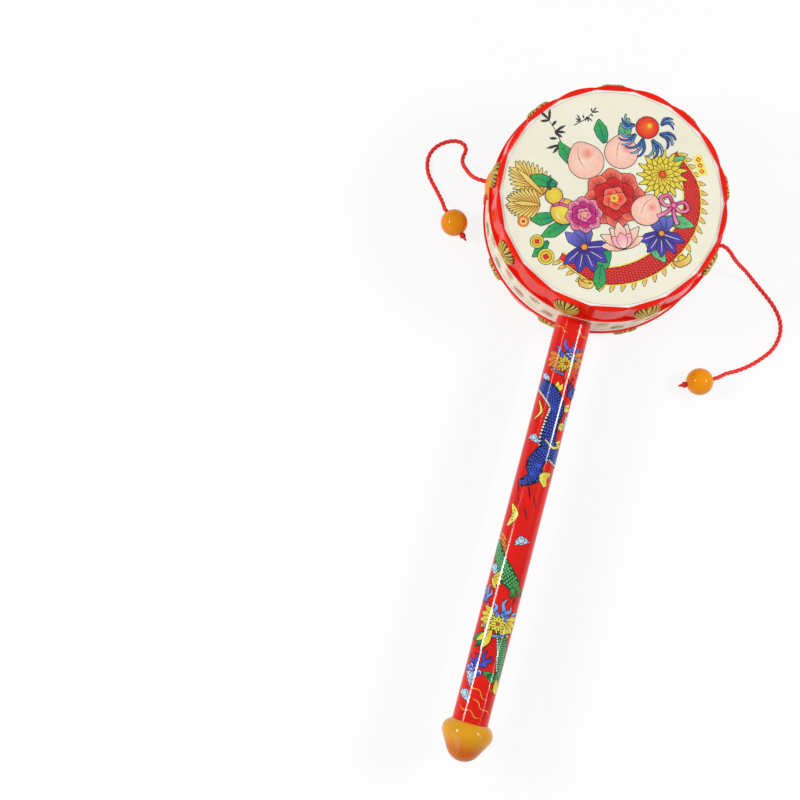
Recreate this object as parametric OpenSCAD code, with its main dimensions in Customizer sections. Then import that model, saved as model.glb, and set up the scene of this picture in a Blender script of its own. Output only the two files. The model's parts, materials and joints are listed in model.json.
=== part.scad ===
// Pellet drum rattle: a flat drum on a handle, with two beads on cords that strike its heads.
// It lies on its back ring. +Z is up along the drum's axis, and the handle points to -Y.
// The origin is on the floor under the middle of the box round the drum, handle and beads.

/* [Drum] */
// Widest diameter of the drum, over the feet of the rings
drum_d = 98.4; // [88:0.4:116]
// Thickness of the drum, over the lips of both rings
drum_t = 48; // [42:0.5:60]
// Wall of the drum shell, under the rings
shell_wall = 2; // [1.2:0.1:3]
// Thickness of each head
head_t = 0.4; // [0.2:0.1:0.8]
// How far a head reaches under the lip at the corners of the opening
head_seat = 0.2; // [0.1:0.1:0.8]
// Thickness of the paper band
band_t = 0.3; // [0.1:0.1:0.6]
// How far the foot of a ring stands out beyond the band
band_set = 0.8; // [0.5:0.1:1.5]

/* [Rings] */
// Height of a ring, from its lip to its foot
ring_h = 12.4; // [11:0.1:14]
// Number of lobes round a ring, always even
lobes = 18; // [14:2:22]
// Depth of the valleys between the lobes
lobe_rise = 0.7; // [0.3:0.1:0.8]
// Width of the lip round the opening
lip_w = 2.2; // [1.8:0.1:2.6]
// Height of the lip over the head
lip_over = 1; // [0.9:0.1:1.6]
// Rounding of the lip's edges
lip_round = 0.6; // [0.4:0.1:0.8]
// How far the wall leans out from the lip to the foot
wall_lean = 1.4; // [0.8:0.1:2]
// Height of the foot
foot_h = 1; // [0.6:0.1:1.4]
// How far the foot stands out beyond the lobes
foot_out = 0.5; // [0.2:0.1:0.9]
// Bevel on the foot's edge
foot_bevel = 0.3; // [0.1:0.1:0.4]
// How far the round core inside the lobes keeps behind their valleys
core_in = 0.2; // [0.1:0.05:0.4]
// Turn of the front ring, so that a rosette sits just beside the handle
front_turn = -97.5; // [-110:0.5:-90]
// Turn of the back ring, which isn't quite in line with the front one
back_turn = -100; // [-110:0.5:-90]

/* [Rosettes] */
// Width of a rosette, round the ring
rosette_w = 10.8; // [10:0.1:12]
// Height of a rosette, up the ring's wall
rosette_h = 9.4; // [7:0.1:9.6]
// How far a rosette stands out of the wall
rosette_proud = 1.4; // [0.8:0.1:2]
// How deep a rosette sits in its recess
rosette_sunk = 0.8; // [0.6:0.1:0.9]
// Depth of the grooves between the ribs
rib_depth = 0.35; // [0.1:0.05:0.5]
// Number of ribs on a rosette
ribs = 16; // [10:1:20]

/* [Handle] */
// From the drum's centre to the end of the cap
handle_reach = 233; // [190:1:280]
// Diameter of the handle over its printed sleeve
handle_d = 14.7; // [13:0.1:17]
// Thickness of the printed sleeve
sleeve_t = 0.25; // [0.15:0.05:0.5]
// Gap between the drum's band and the sleeve
sleeve_gap = 0.6; // [0.4:0.1:4]
// Wall of the handle tube
tube_wall = 1.1; // [0.8:0.1:2]
// Length of tube that is held inside the drum's wall
tube_grip = 18; // [12:0.5:24]
// Wall of the socket round the tube
socket_wall = 2.2; // [1.5:0.1:3]
// Thickness of the socket's closed end
socket_floor = 2; // [1.2:0.1:3]
// Thickness of the socket's flange
flange_t = 2; // [1.2:0.1:3]
// How far the flange stands out round the socket
flange_out = 3.5; // [2:0.5:6]

/* [End cap] */
// Widest diameter of the cap
cap_d = 20.8; // [19:0.2:24]
// Length of the cap
cap_l = 15.8; // [14:0.2:20]
// Radius of the cap's round shoulder
cap_shoulder = 4.6; // [4:0.1:5]
// Distance of the shoulder's centre below the cap's mouth
cap_widest = 4.2; // [3.6:0.1:4.6]
// Radius of the cap's nose
cap_nose = 7.5; // [6.5:0.1:8]
// Depth of the rebate that takes the end of the tube
cap_rebate = 1.2; // [0.8:0.1:2]
// Length of the spigot inside the tube
spigot_l = 10; // [6:0.5:16]
// Wall of the hollow spigot
spigot_wall = 1.4; // [1:0.1:2]
// Solid end of the nose beyond the hollow
nose_floor = 4; // [3:0.5:7]

/* [Strikers] */
// Diameter of the cords
cord_d = 1.9; // [1.5:0.1:2.4]
// Diameter of the beads
bead_d = 11.7; // [10:0.1:13]
// Diameter of the knot at a cord's end
knot_d = 2.7; // [2.5:0.1:3.2]
// Length of the pointed tail beyond the knot
knot_tail = 1.4; // [0.8:0.1:3]
// Diameter of the stopper knot inside the drum
stopper_d = 4.2; // [3.6:0.1:5]
// Diameter of the domed plug
plug_d = 15; // [13:0.5:17]
// How far the plug stands out of the band
plug_proud = 2.6; // [2:0.1:4]
// Diameter of the plug's shank through the shell
shank_d = 6; // [5:0.1:8]
// How far the shank stands inside the shell
shank_in = 1.5; // [0.8:0.1:3]
// Length of the cord tail beside the left plug
tail_l = 5; // [4:0.5:7]
// Distance of each bead's centre from the edge of the drum, left then right
bead_out = [9.9, 11.3];
// Distance of each bead's centre from the drum's middle towards the handle
bead_down = [15.8, 54.8];
// Direction of each bead's bore, from the cord's side to the knot's side
bead_turn = [-42, 207];

/* [Fits] */
// Gap that glue fills
glue_gap = 0.05; // [0.03:0.01:0.1]
// Gap round a piece that slides into its seat
slide_gap = 0.1; // [0.05:0.01:0.15]

/* [Hidden] */
$fn = 72;
// Overrun of every cut
over = 1;
half_pitch = 180 / lobes;
rosettes = lobes / 2;

// Heights are from the drum's middle plane, and radii from its axis
top = drum_t / 2;
foot_z = top - ring_h;
wall_z = foot_z + foot_h;
crest_z = top - lip_round;
head_top = top - lip_over;
shell_half = head_top - head_t;
drum_r = drum_d / 2;
wall_r = drum_r - foot_out;
lip_r = wall_r - wall_lean;
opening_r = lip_r - lip_w;
shell_r = opening_r / cos(half_pitch) + head_seat;
shell_in = shell_r - shell_wall;
band_r = drum_r - band_set;
// The shell has a raised belt between the rings, and the band lies on it
belt_r = band_r - band_t - glue_gap;
belt_half = foot_z - glue_gap;
// A lobe is round about its own axis, at this distance from the drum's
valley_r = wall_r - lobe_rise;
lobe_axis = (wall_r * wall_r - valley_r * valley_r) / (2 * (wall_r - valley_r * cos(half_pitch)));

// The wall of a lobe, where the rosettes sit
wall_slope = atan(wall_lean / (crest_z - wall_z));
wall_mid_r = (wall_r + lip_r) / 2;
wall_mid_z = (wall_z + crest_z) / 2;

// Distances along the handle are from the drum's axis
sleeve_r = handle_d / 2;
tube_r = sleeve_r - sleeve_t - glue_gap;
tube_in = tube_r - tube_wall;
tube_start = shell_in - tube_grip;
sleeve_start = band_r + sleeve_gap;
cap_mouth = handle_reach - cap_l;
tube_end = cap_mouth + cap_rebate - glue_gap;
socket_r = tube_r + slide_gap + socket_wall;

// The plug's dome is part of a ball, and its face is where a cord leaves
cord_r = cord_d / 2;
cord_bore = cord_r + slide_gap;
plug_face = band_r + plug_proud;
plug_rim = sqrt(band_r * band_r - plug_d * plug_d / 4);
plug_h = plug_face - plug_rim;
dome_r = (plug_d * plug_d / 4 + plug_h * plug_h) / (2 * plug_h);
shank_end = shell_in - shank_in;
stopper_r = stopper_d / 2;
tail_turn = asin(plug_d / 2 / plug_face);

bead_r = bead_d / 2;
knot_r = knot_d / 2;
origin_y = (handle_reach - drum_r) / 2;
sides = [-1, 1];
// A knot sits in the mouth of the bead's bore
bead_mouth = sqrt(bead_r * bead_r - cord_bore * cord_bore);
knot_seat = bead_mouth + sqrt((knot_r + slide_gap) * (knot_r + slide_gap) - cord_bore * cord_bore);
bead_place = [for (k = [0, 1]) [sides[k] * (drum_r + bead_out[k]), origin_y - bead_down[k], bead_r]];

// Routes of the cords between the plug and the bead, in the part's own frame, left then right
routes = [
    [
        [-53.6, 91.9, 24], [-56.1, 92.9, 22.1], [-58.2, 95.3, 17.6], [-59.9, 98.2, 12.6], [-61.6, 101.4, 7.3],
        [-62.7, 104.6, 3.2], [-62.9, 107.7, 1.2], [-62.6, 110.4, 1], [-63.8, 112.6, 1], [-66.6, 113.5, 1],
        [-69.9, 112.8, 1], [-73.1, 110.9, 1], [-75.8, 108.1, 1], [-77.4, 104.4, 1], [-77.4, 100.3, 1],
        [-76, 96.3, 1], [-73.8, 93.2, 1], [-71, 90.1, 1.3], [-68.4, 86.9, 2.5], [-66, 83.6, 4.3]
    ],
    [
        [53.6, 91.9, 24], [56.6, 91.1, 21.8], [59.8, 90.2, 17.5], [63.5, 89.7, 12.5], [67.5, 89.4, 7.7],
        [71.3, 88.5, 3.7], [75.3, 86.6, 1.3], [79.4, 83.7, 1], [83.5, 80.5, 1], [87, 76.9, 1],
        [89.5, 72.8, 1], [90.5, 68.3, 1], [90, 63.8, 1], [88.4, 59.6, 1], [85.5, 55.6, 1],
        [82.3, 52.1, 1], [78.9, 49.1, 1], [75.2, 46.5, 1.6], [71.2, 44, 3.2]
    ]
];
// Sides of the cord's tube
cord_sides = 8;

// Moves a piece from the drum's own centre to its place in the part's frame
module in_place() {
    translate([0, origin_y, top])
        children();
}

// Turns a piece that stands on +Z so that it points along the handle
module along_handle() {
    rotate([90, 0, 0])
        children();
}

// Turns a piece that stands on +Z so that it points out of the drum's left or right side
module out_of_side(k) {
    rotate([0, sides[k] * 90, 0])
        children();
}

// Turns a piece that stands on +Z so that it points along a bead's bore, from the bead's centre
module along_bore(k) {
    translate(bead_place[k])
        rotate([0, 0, bead_turn[k]])
            rotate([0, 90, 0])
                children();
}

// Half of the section through a lobe, about the lobe's own axis
module lobe_section() {
    crest = lip_r - lobe_axis;
    base = foot_z + foot_bevel;
    polygon([
        [0, base], [wall_r - lobe_axis, base], [wall_r - lobe_axis, wall_z], [crest, crest_z], [0, crest_z]
    ]);
    translate([crest - lip_round, crest_z])
        circle(lip_round);
    translate([0, crest_z - lip_round])
        square([crest - lip_round, 2 * lip_round]);
}

// What is cut from a lobe to leave its straight, rounded side of the opening
module opening_cut() {
    width = 2 * drum_r * sin(half_pitch);
    rotate([90, 0, 0])
        linear_extrude(width, center = true)
            difference() {
                polygon([
                    [0, head_top - over], [opening_r, head_top - over], [opening_r, crest_z],
                    [opening_r + lip_round, crest_z], [opening_r + lip_round, top + over], [0, top + over]
                ]);
                translate([opening_r + lip_round, crest_z])
                    circle(lip_round);
            }
}

// One lobe of a ring, cut to its share of the circle
module lobe() {
    near = shell_in * cos(half_pitch);
    far = drum_r * cos(half_pitch) + over;
    spread = tan(half_pitch);
    difference() {
        intersection() {
            translate([lobe_axis, 0, 0])
                rotate_extrude()
                    lobe_section();
            linear_extrude(top)
                polygon([
                    [near, -near * spread], [far, -far * spread], [far, far * spread], [near, near * spread]
                ]);
        }
        opening_cut();
    }
}

// Puts a piece drawn flat on the middle of a lobe's wall, with its +X towards the foot
module on_wall(i) {
    rotate([0, 0, 4 * half_pitch * (i - 1)])
        translate([wall_mid_r, 0, wall_mid_z])
            rotate([0, 90 - wall_slope, 0])
                children();
}

// The recess of one rosette, an oblong with round ends
module recess() {
    end_r = rosette_h / 2 + slide_gap;
    reach = rosette_w / 2 - rosette_h / 2;
    translate([0, 0, -rosette_sunk])
        linear_extrude(rosette_sunk + over) {
            square([2 * end_r, 2 * reach], center = true);
            for (s = sides)
                translate([0, s * reach])
                    circle(end_r);
        }
}

// A moulded ring of lobes, which holds its head down on the shell
module ring() {
    difference() {
        union() {
            for (i = [0:lobes - 1])
                rotate([0, 0, 2 * half_pitch * i])
                    lobe();
            rotate_extrude()
                polygon([
                    [shell_in, foot_z], [drum_r - foot_bevel, foot_z], [drum_r, foot_z + foot_bevel],
                    [drum_r, wall_z], [valley_r - core_in, wall_z],
                    [valley_r - wall_lean - core_in, crest_z - lip_round], [shell_in, crest_z - lip_round]
                ]);
        }
        translate([0, 0, foot_z - over])
            cylinder(r = shell_r + slide_gap, h = head_top - foot_z + over);
        for (i = [1:rosettes])
            on_wall(i)
                recess();
    }
}

module front_ring() {
    color("red")
        in_place()
            rotate([0, 0, front_turn])
                ring();
}

module back_ring() {
    color("red")
        in_place()
            mirror([0, 0, 1])
                rotate([0, 0, back_turn])
                    ring();
}

// A tight head, which lies on the end of the shell
module head() {
    translate([0, 0, shell_half])
        cylinder(r = shell_r, h = head_t);
}

module front_head() {
    color("ivory")
        in_place()
            head();
}

module back_head() {
    color("ivory")
        in_place()
            mirror([0, 0, 1])
                head();
}

// Holes through the shell or the band for the shanks of the plugs and the handle tube
module wall_holes(gap) {
    for (k = [0, 1])
        out_of_side(k)
            cylinder(r = shank_d / 2 + gap, h = drum_r);
    along_handle()
        cylinder(r = tube_r + gap, h = drum_r);
}

module drum_shell() {
    color("firebrick")
        in_place()
            difference() {
                union() {
                    cylinder(r = shell_r, h = 2 * shell_half, center = true);
                    cylinder(r = belt_r, h = 2 * belt_half, center = true);
                }
                cylinder(r = shell_in, h = drum_t, center = true);
                wall_holes(slide_gap);
            }
}

module side_band() {
    color("antiquewhite")
        in_place()
            difference() {
                cylinder(r = band_r, h = 2 * belt_half, center = true);
                cylinder(r = belt_r + glue_gap, h = drum_t, center = true);
                wall_holes(slide_gap);
            }
}

// Outline of a rosette at an angle, nearly an oblong with round ends, scalloped by its ribs
squareness = 0.8;
scallop_share = 0.04;
function signed_power(v) = sign(v) * pow(abs(v), squareness);
function rosette_edge(a) =
    let (s = 1 - scallop_share * (1 - cos(ribs * a)) / 2)
    [signed_power(cos(a)) * rosette_h / 2 * s, signed_power(sin(a)) * rosette_w / 2 * s];

// Steps out from the hub, and the share of the full height at each
rosette_steps_share = [0, 0.3, 0.62, 0.86, 1];
rosette_heights_share = [0.8, 1, 0.94, 0.66, 0.12];
rosette_ribs_share = [0, 0.3, 1, 1, 0.5];
hub_share = 0.2;

// A rosette, flat below and crowned above, with ribs that fan out from a hub near its foot
module rosette() {
    spokes = 2 * ribs;
    spoke_pitch = 360 / spokes;
    steps = len(rosette_steps_share) - 1;
    hub = [hub_share * rosette_h, 0];
    base = glue_gap - rosette_sunk;
    rib = [for (s = [0:spokes - 1]) rib_depth * (s % 2)];
    crown = [for (j = [1:steps]) for (s = [0:spokes - 1])
        let (
            edge = rosette_edge(spoke_pitch * s),
            at = hub + (edge - hub) * rosette_steps_share[j]
        )
        [at.x, at.y, rosette_proud * rosette_heights_share[j] - rib[s] * rosette_ribs_share[j]]];
    floor_edge = [for (s = [0:spokes - 1])
        let (edge = rosette_edge(spoke_pitch * s))
        [edge.x, edge.y, base]];
    peak = [hub.x, hub.y, rosette_proud * rosette_heights_share[0]];
    points = concat(crown, floor_edge, [peak, [hub.x, hub.y, base]]);
    rows = steps + 1;
    faces = concat(
        [for (s = [0:spokes - 1]) [rows * spokes, (s + 1) % spokes, s]],
        [for (j = [0:rows - 2]) for (s = [0:spokes - 1])
            [j * spokes + s, j * spokes + (s + 1) % spokes, (j + 1) * spokes + (s + 1) % spokes]],
        [for (j = [0:rows - 2]) for (s = [0:spokes - 1])
            [j * spokes + s, (j + 1) * spokes + (s + 1) % spokes, (j + 1) * spokes + s]],
        [for (s = [0:spokes - 1])
            [rows * spokes + 1, (rows - 1) * spokes + s, (rows - 1) * spokes + (s + 1) % spokes]]
    );
    polyhedron(points, faces);
}

module front_rosette(i) {
    color("goldenrod")
        in_place()
            rotate([0, 0, front_turn])
                on_wall(i)
                    rosette();
}

module back_rosette(i) {
    color("goldenrod")
        in_place()
            mirror([0, 0, 1])
                rotate([0, 0, back_turn])
                    on_wall(i)
                        rosette();
}

// The cord tail that is caught under the edge of the left plug, or the groove for it
module tail_rod(r, length) {
    rotate([0, 0, tail_turn])
        translate([-band_r - cord_r - glue_gap, 0, 0])
            along_handle()
                cylinder(r = r, h = length, center = true);
}

// A domed button in the shell wall, drilled for the cord
module plug(k) {
    difference() {
        union() {
            difference() {
                translate([sides[k] * (plug_face - dome_r), 0, 0])
                    sphere(r = dome_r);
                cylinder(r = band_r + glue_gap, h = drum_t, center = true);
            }
            out_of_side(k)
                translate([0, 0, shank_end])
                    cylinder(r = shank_d / 2, h = band_r - shank_end + glue_gap + over);
        }
        out_of_side(k)
            cylinder(r = cord_bore, h = drum_r + plug_proud);
    }
}

module left_plug() {
    color("orange")
        in_place()
            difference() {
                plug(0);
                tail_rod(cord_bore, tail_l + 2 * slide_gap);
            }
}

module right_plug() {
    color("orange")
        in_place()
            plug(1);
}

// The knot inside the shell, with the stretch of cord that stays in the plug
module stopper_knot(k) {
    knot_place = shank_end - glue_gap - stopper_r;
    out_of_side(k) {
        translate([0, 0, knot_place])
            sphere(r = stopper_r);
        translate([0, 0, knot_place])
            cylinder(r = cord_r, h = plug_face - knot_place);
    }
}

module left_stopper_knot() {
    color("red")
        in_place()
            stopper_knot(0);
}

module right_stopper_knot() {
    color("red")
        in_place()
            stopper_knot(1);
}

module left_cord_tail() {
    color("red")
        in_place()
            tail_rod(cord_r, tail_l);
}

function unit(v) = v / norm(v);

// Direction of a bead's bore
function bore_way(k) = [cos(bead_turn[k]), sin(bead_turn[k]), 0];

// The whole free stretch: out of the plug, along the route and through the bead to its knot
entry_share = 1.25;
function full_route(k) = concat(
    [[sides[k] * plug_face, origin_y, top]],
    routes[k],
    [for (reach = [-entry_share * bead_r, 0, bead_mouth]) bead_place[k] + reach * bore_way(k)]
);

// A tube swept along points, with its rings square to the way between their neighbours
module cord_tube(points) {
    last = len(points) - 1;
    rings = [for (i = [0:last])
        let (
            way = unit(points[min(i + 1, last)] - points[max(i - 1, 0)]),
            side = unit(cross(way, [0, 0, 1])),
            lift = cross(side, way)
        )
        for (s = [0:cord_sides - 1])
            let (a = 360 * (s + 0.5) / cord_sides)
            points[i] + cord_r * (cos(a) * side + sin(a) * lift)];
    walls = [for (i = [0:last - 1]) for (s = [0:cord_sides - 1])
        let (
            a = i * cord_sides + s,
            b = i * cord_sides + (s + 1) % cord_sides
        )
        each [[a, b, b + cord_sides], [a, b + cord_sides, a + cord_sides]]];
    ends = [
        [for (s = [cord_sides - 1:-1:0]) s],
        [for (s = [0:cord_sides - 1]) last * cord_sides + s]
    ];
    polyhedron(rings, concat(walls, ends));
}

module left_cord() {
    color("red")
        cord_tube(full_route(0));
}

module right_cord() {
    color("red")
        cord_tube(full_route(1));
}

// A ball drilled through for its cord
module bead(k) {
    along_bore(k)
        difference() {
            sphere(r = bead_r);
            cylinder(r = cord_bore, h = bead_d, center = true);
        }
}

module left_bead() {
    color("orange")
        bead(0);
}

module right_bead() {
    color("orange")
        bead(1);
}

// The knot that holds a bead, with its pointed tail
knot_root_share = 0.7;
knot_tip_share = 0.35;
module end_knot(k) {
    along_bore(k)
        translate([0, 0, knot_seat]) {
            sphere(r = knot_r);
            cylinder(r1 = knot_root_share * knot_r, r2 = knot_tip_share * cord_r, h = knot_r + knot_tail);
        }
}

module left_end_knot() {
    color("red")
        end_knot(0);
}

module right_end_knot() {
    color("red")
        end_knot(1);
}

// The collar inside the shell that holds the tube, with a flange against the shell
module handle_socket() {
    color("firebrick")
        in_place()
            difference() {
                union() {
                    intersection() {
                        along_handle()
                            translate([0, 0, tube_start - socket_floor])
                                cylinder(r = socket_r, h = tube_grip + socket_floor);
                        cylinder(r = shell_in - glue_gap, h = drum_t, center = true);
                    }
                    intersection() {
                        along_handle()
                            cylinder(r = socket_r + flange_out, h = drum_r);
                        difference() {
                            cylinder(r = shell_in - glue_gap, h = drum_t, center = true);
                            cylinder(r = shell_in - glue_gap - flange_t, h = drum_t, center = true);
                        }
                    }
                }
                along_handle()
                    translate([0, 0, tube_start - glue_gap])
                        cylinder(r = tube_r + slide_gap, h = drum_r);
            }
}

module handle_tube() {
    color("red")
        in_place()
            along_handle()
                translate([0, 0, tube_start])
                    difference() {
                        cylinder(r = tube_r, h = tube_end - tube_start);
                        translate([0, 0, -over])
                            cylinder(r = tube_in, h = tube_end - tube_start + 2 * over);
                    }
}

module handle_sleeve() {
    color("crimson")
        in_place()
            along_handle()
                translate([0, 0, sleeve_start])
                    difference() {
                        cylinder(r = sleeve_r, h = tube_end - sleeve_start);
                        translate([0, 0, -over])
                            cylinder(r = tube_r + glue_gap, h = tube_end - sleeve_start + 2 * over);
                    }
}

// Half of the section through the cap: a round shoulder and a round nose, joined by a straight flank
module cap_section() {
    shoulder_x = cap_d / 2 - cap_shoulder;
    nose_y = cap_l - cap_nose;
    reach = norm([shoulder_x, cap_widest - nose_y]);
    flank = atan2(cap_widest - nose_y, shoulder_x) + acos((cap_nose - cap_shoulder) / reach);
    way = [cos(flank), sin(flank)];
    intersection() {
        union() {
            translate([shoulder_x, cap_widest])
                circle(cap_shoulder);
            translate([0, nose_y])
                circle(cap_nose);
            polygon([
                [0, 0], [shoulder_x, 0], [shoulder_x, cap_widest] + cap_shoulder * way,
                [0, nose_y] + cap_nose * way, [0, cap_l - cap_nose]
            ]);
        }
        square([cap_d, cap_l]);
    }
}

module end_cap() {
    spigot_r = tube_in - slide_gap;
    hollow_l = cap_l - nose_floor - cap_rebate + spigot_l;
    color("orange")
        in_place()
            along_handle()
                translate([0, 0, cap_mouth])
                    difference() {
                        union() {
                            difference() {
                                rotate_extrude()
                                    cap_section();
                                translate([0, 0, -over])
                                    cylinder(r = sleeve_r + slide_gap, h = cap_rebate + over);
                            }
                            translate([0, 0, cap_rebate - spigot_l])
                                cylinder(r = spigot_r, h = spigot_l + over);
                        }
                        translate([0, 0, cap_rebate - spigot_l - over])
                            cylinder(r = spigot_r - spigot_wall, h = hollow_l + over);
                    }
}

front_ring();
back_ring();
front_head();
back_head();
drum_shell();
side_band();
for (i = [1:rosettes]) front_rosette(i);
for (i = [1:rosettes]) back_rosette(i);
left_plug();
right_plug();
left_stopper_knot();
right_stopper_knot();
left_cord_tail();
left_cord();
right_cord();
left_bead();
right_bead();
left_end_knot();
right_end_knot();
handle_socket();
handle_tube();
handle_sleeve();
end_cap();
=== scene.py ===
import json
import math

import bmesh
import bpy
from mathutils import Matrix, Vector


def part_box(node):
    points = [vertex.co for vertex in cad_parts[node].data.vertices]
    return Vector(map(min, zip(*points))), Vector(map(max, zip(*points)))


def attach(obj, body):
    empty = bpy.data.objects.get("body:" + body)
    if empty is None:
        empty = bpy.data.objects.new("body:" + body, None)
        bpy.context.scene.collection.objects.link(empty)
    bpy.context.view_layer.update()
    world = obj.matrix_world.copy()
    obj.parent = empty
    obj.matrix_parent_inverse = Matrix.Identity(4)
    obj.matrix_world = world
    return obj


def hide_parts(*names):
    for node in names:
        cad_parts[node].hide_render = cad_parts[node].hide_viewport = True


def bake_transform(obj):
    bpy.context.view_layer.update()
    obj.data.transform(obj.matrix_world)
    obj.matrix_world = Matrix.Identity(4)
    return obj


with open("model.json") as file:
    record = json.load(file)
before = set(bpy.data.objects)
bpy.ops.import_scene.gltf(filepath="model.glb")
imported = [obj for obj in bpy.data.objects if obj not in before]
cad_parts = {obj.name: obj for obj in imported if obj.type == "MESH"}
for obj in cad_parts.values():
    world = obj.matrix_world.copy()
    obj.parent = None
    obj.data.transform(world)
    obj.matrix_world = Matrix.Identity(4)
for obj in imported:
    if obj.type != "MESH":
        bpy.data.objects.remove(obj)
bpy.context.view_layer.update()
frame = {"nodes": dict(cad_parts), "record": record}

# Lengths in this script are in millimetres and become metres where a mesh or an object is made
MM = 0.001


def linked(name, data):
    """A new object in the scene."""
    thing = bpy.data.objects.new(name, data)
    bpy.context.scene.collection.objects.link(thing)
    return thing


# Camera

FRAME_PX = 800
FOCAL_PX = 1364.2
SENSOR_MM = 36
CAMERA_PLACE = (-57.43, -87.24, 579.69)
# The camera's own right, up and backward directions, in the part's frame
CAMERA_AXES = ((0.96409, 0.26372, 0.03138), (-0.2655, 0.95412, 0.13845), (0.00658, -0.14181, 0.98987))


def make_camera():
    data = bpy.data.cameras.new("camera")
    data.sensor_width = SENSOR_MM
    data.lens = FOCAL_PX / FRAME_PX * SENSOR_MM
    data.clip_start = 0.01
    data.clip_end = 10
    camera = linked("camera", data)
    turn = Matrix(CAMERA_AXES).transposed().to_4x4()
    camera.matrix_world = Matrix.Translation(Vector(CAMERA_PLACE) * MM) @ turn
    bpy.context.scene.camera = camera


make_camera()


# Sizes taken from the frame

def size_of(node):
    low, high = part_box(node)
    return [(high[i] - low[i]) / MM for i in range(3)]


def middle_of(node):
    low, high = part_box(node)
    return Vector([(high[i] + low[i]) / 2 / MM for i in range(3)])


drum_middle = middle_of("drum_shell")
front_film_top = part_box("front_head")[1][2] / MM
back_film_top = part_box("back_head")[0][2] / MM
sleeve_r = size_of("handle_sleeve")[0] / 2
band_r = size_of("side_band")[0] / 2
bead_r = size_of("left_bead")[2] / 2
cord_r = size_of("left_cord_tail")[2] / 2


# Making meshes

def new_object(name, mesh, body):
    piece = linked(name, mesh)
    if body:
        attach(piece, body)
    return piece


def new_mesh(name, points, faces, crests):
    """A smooth mesh that keeps, at each point, how high it stands over the grooves, which its material turns
    into painted shade.
    """
    mesh = bpy.data.meshes.new(name)
    mesh.from_pydata([Vector(p) * MM for p in points], [], faces)
    mesh.polygons.foreach_set("use_smooth", [True] * len(mesh.polygons))
    mesh.update()
    layer = mesh.attributes.new("crest", "FLOAT", "POINT")
    layer.data.foreach_set("value", crests)
    return mesh


def full_turn(count):
    """The angles of equal steps once round."""
    return [2 * math.pi * i / count for i in range(count)]


def curve_point(a, b, c, d, t):
    """A point on the Catmull-Rom curve from b to c, with a before them and d after them."""
    bend, twist = 2 * a - 5 * b + 4 * c - d, 3 * b - 3 * c + d - a
    return 0.5 * (2 * b + (c - a) * t + bend * t * t + twist * t ** 3)


def smooth_line(points, step):
    """A Catmull-Rom curve through the points, sampled about every step."""
    points = [Vector(p) for p in points]
    ends = [points[0] * 2 - points[1]] + points + [points[-1] * 2 - points[-2]]
    line = []
    for a, b, c, d in zip(ends, ends[1:], ends[2:], ends[3:]):
        count = max(1, round((c - b).length / step))
        line += [curve_point(a, b, c, d, i / count) for i in range(count)]
    return line + [points[-1]]


# Cords

# The same points as in the part's source, from the plug's face to the last one before the bead
LEFT_ROUTE = [
    (-51.0, 91.9, 24), (-53.6, 91.9, 24), (-56.1, 92.9, 22.1), (-58.2, 95.3, 17.6), (-59.9, 98.2, 12.6),
    (-61.6, 101.4, 7.3), (-62.7, 104.6, 3.2), (-62.9, 107.7, 1.2), (-62.6, 110.4, 1), (-63.8, 112.6, 1),
    (-66.6, 113.5, 1), (-69.9, 112.8, 1), (-73.1, 110.9, 1), (-75.8, 108.1, 1), (-77.4, 104.4, 1),
    (-77.4, 100.3, 1), (-76, 96.3, 1), (-73.8, 93.2, 1), (-71, 90.1, 1.3), (-68.4, 86.9, 2.5),
    (-66, 83.6, 4.3),
]
RIGHT_ROUTE = [
    (51.0, 91.9, 24), (53.6, 91.9, 24), (56.6, 91.1, 21.8), (59.8, 90.2, 17.5), (63.5, 89.7, 12.5),
    (67.5, 89.4, 7.7), (71.3, 88.5, 3.7), (75.3, 86.6, 1.3), (79.4, 83.7, 1), (83.5, 80.5, 1), (87, 76.9, 1),
    (89.5, 72.8, 1), (90.5, 68.3, 1), (90, 63.8, 1), (88.4, 59.6, 1), (85.5, 55.6, 1), (82.3, 52.1, 1),
    (78.9, 49.1, 1), (75.2, 46.5, 1.6), (71.2, 44, 3.2),
]
# The turn of each bead's bore in degrees, along which its cord runs through the bead
BEAD_TURNS = {"left": -42, "right": 207}
ENTRY_SHARE = 1.25
MOUTH_SHARE = 0.98
STRANDS = 3
STRAND_R = 0.51
CORD_PITCH = 6.6
CORD_STEP = 0.25
CORD_SIDES = 27
# The tail's thickness in cords at its tip, and what its knot and its top add to it
TAIL_SHARE, KNOT_SHARE, TOP_SHARE = 0.45, 0.75, 0.1
# The knot's place and reach along the tail
KNOT_AT_SHARE, KNOT_REACH_SHARE = 0.26, 0.16


def bore_way(side):
    turn = math.radians(BEAD_TURNS[side])
    return Vector((math.cos(turn), math.sin(turn), 0))


def cord_line(side, route):
    """The route with its way through the bead to the knot, as a smooth line."""
    bead, way = middle_of(side + "_bead"), bore_way(side)
    ends = [bead + way * reach * bead_r for reach in (-ENTRY_SHARE, 0, MOUTH_SHARE)]
    return smooth_line([Vector(p) for p in route] + ends, CORD_STEP)


def rope_edge(angle):
    """Distance from a cord's middle to its surface, where three round strands lie side by side."""
    off = cord_r - STRAND_R
    part = 2 * math.pi / STRANDS
    near = (angle + part / 2) % part - part / 2
    return off * math.cos(near) + math.sqrt(STRAND_R ** 2 - (off * math.sin(near)) ** 2)


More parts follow.
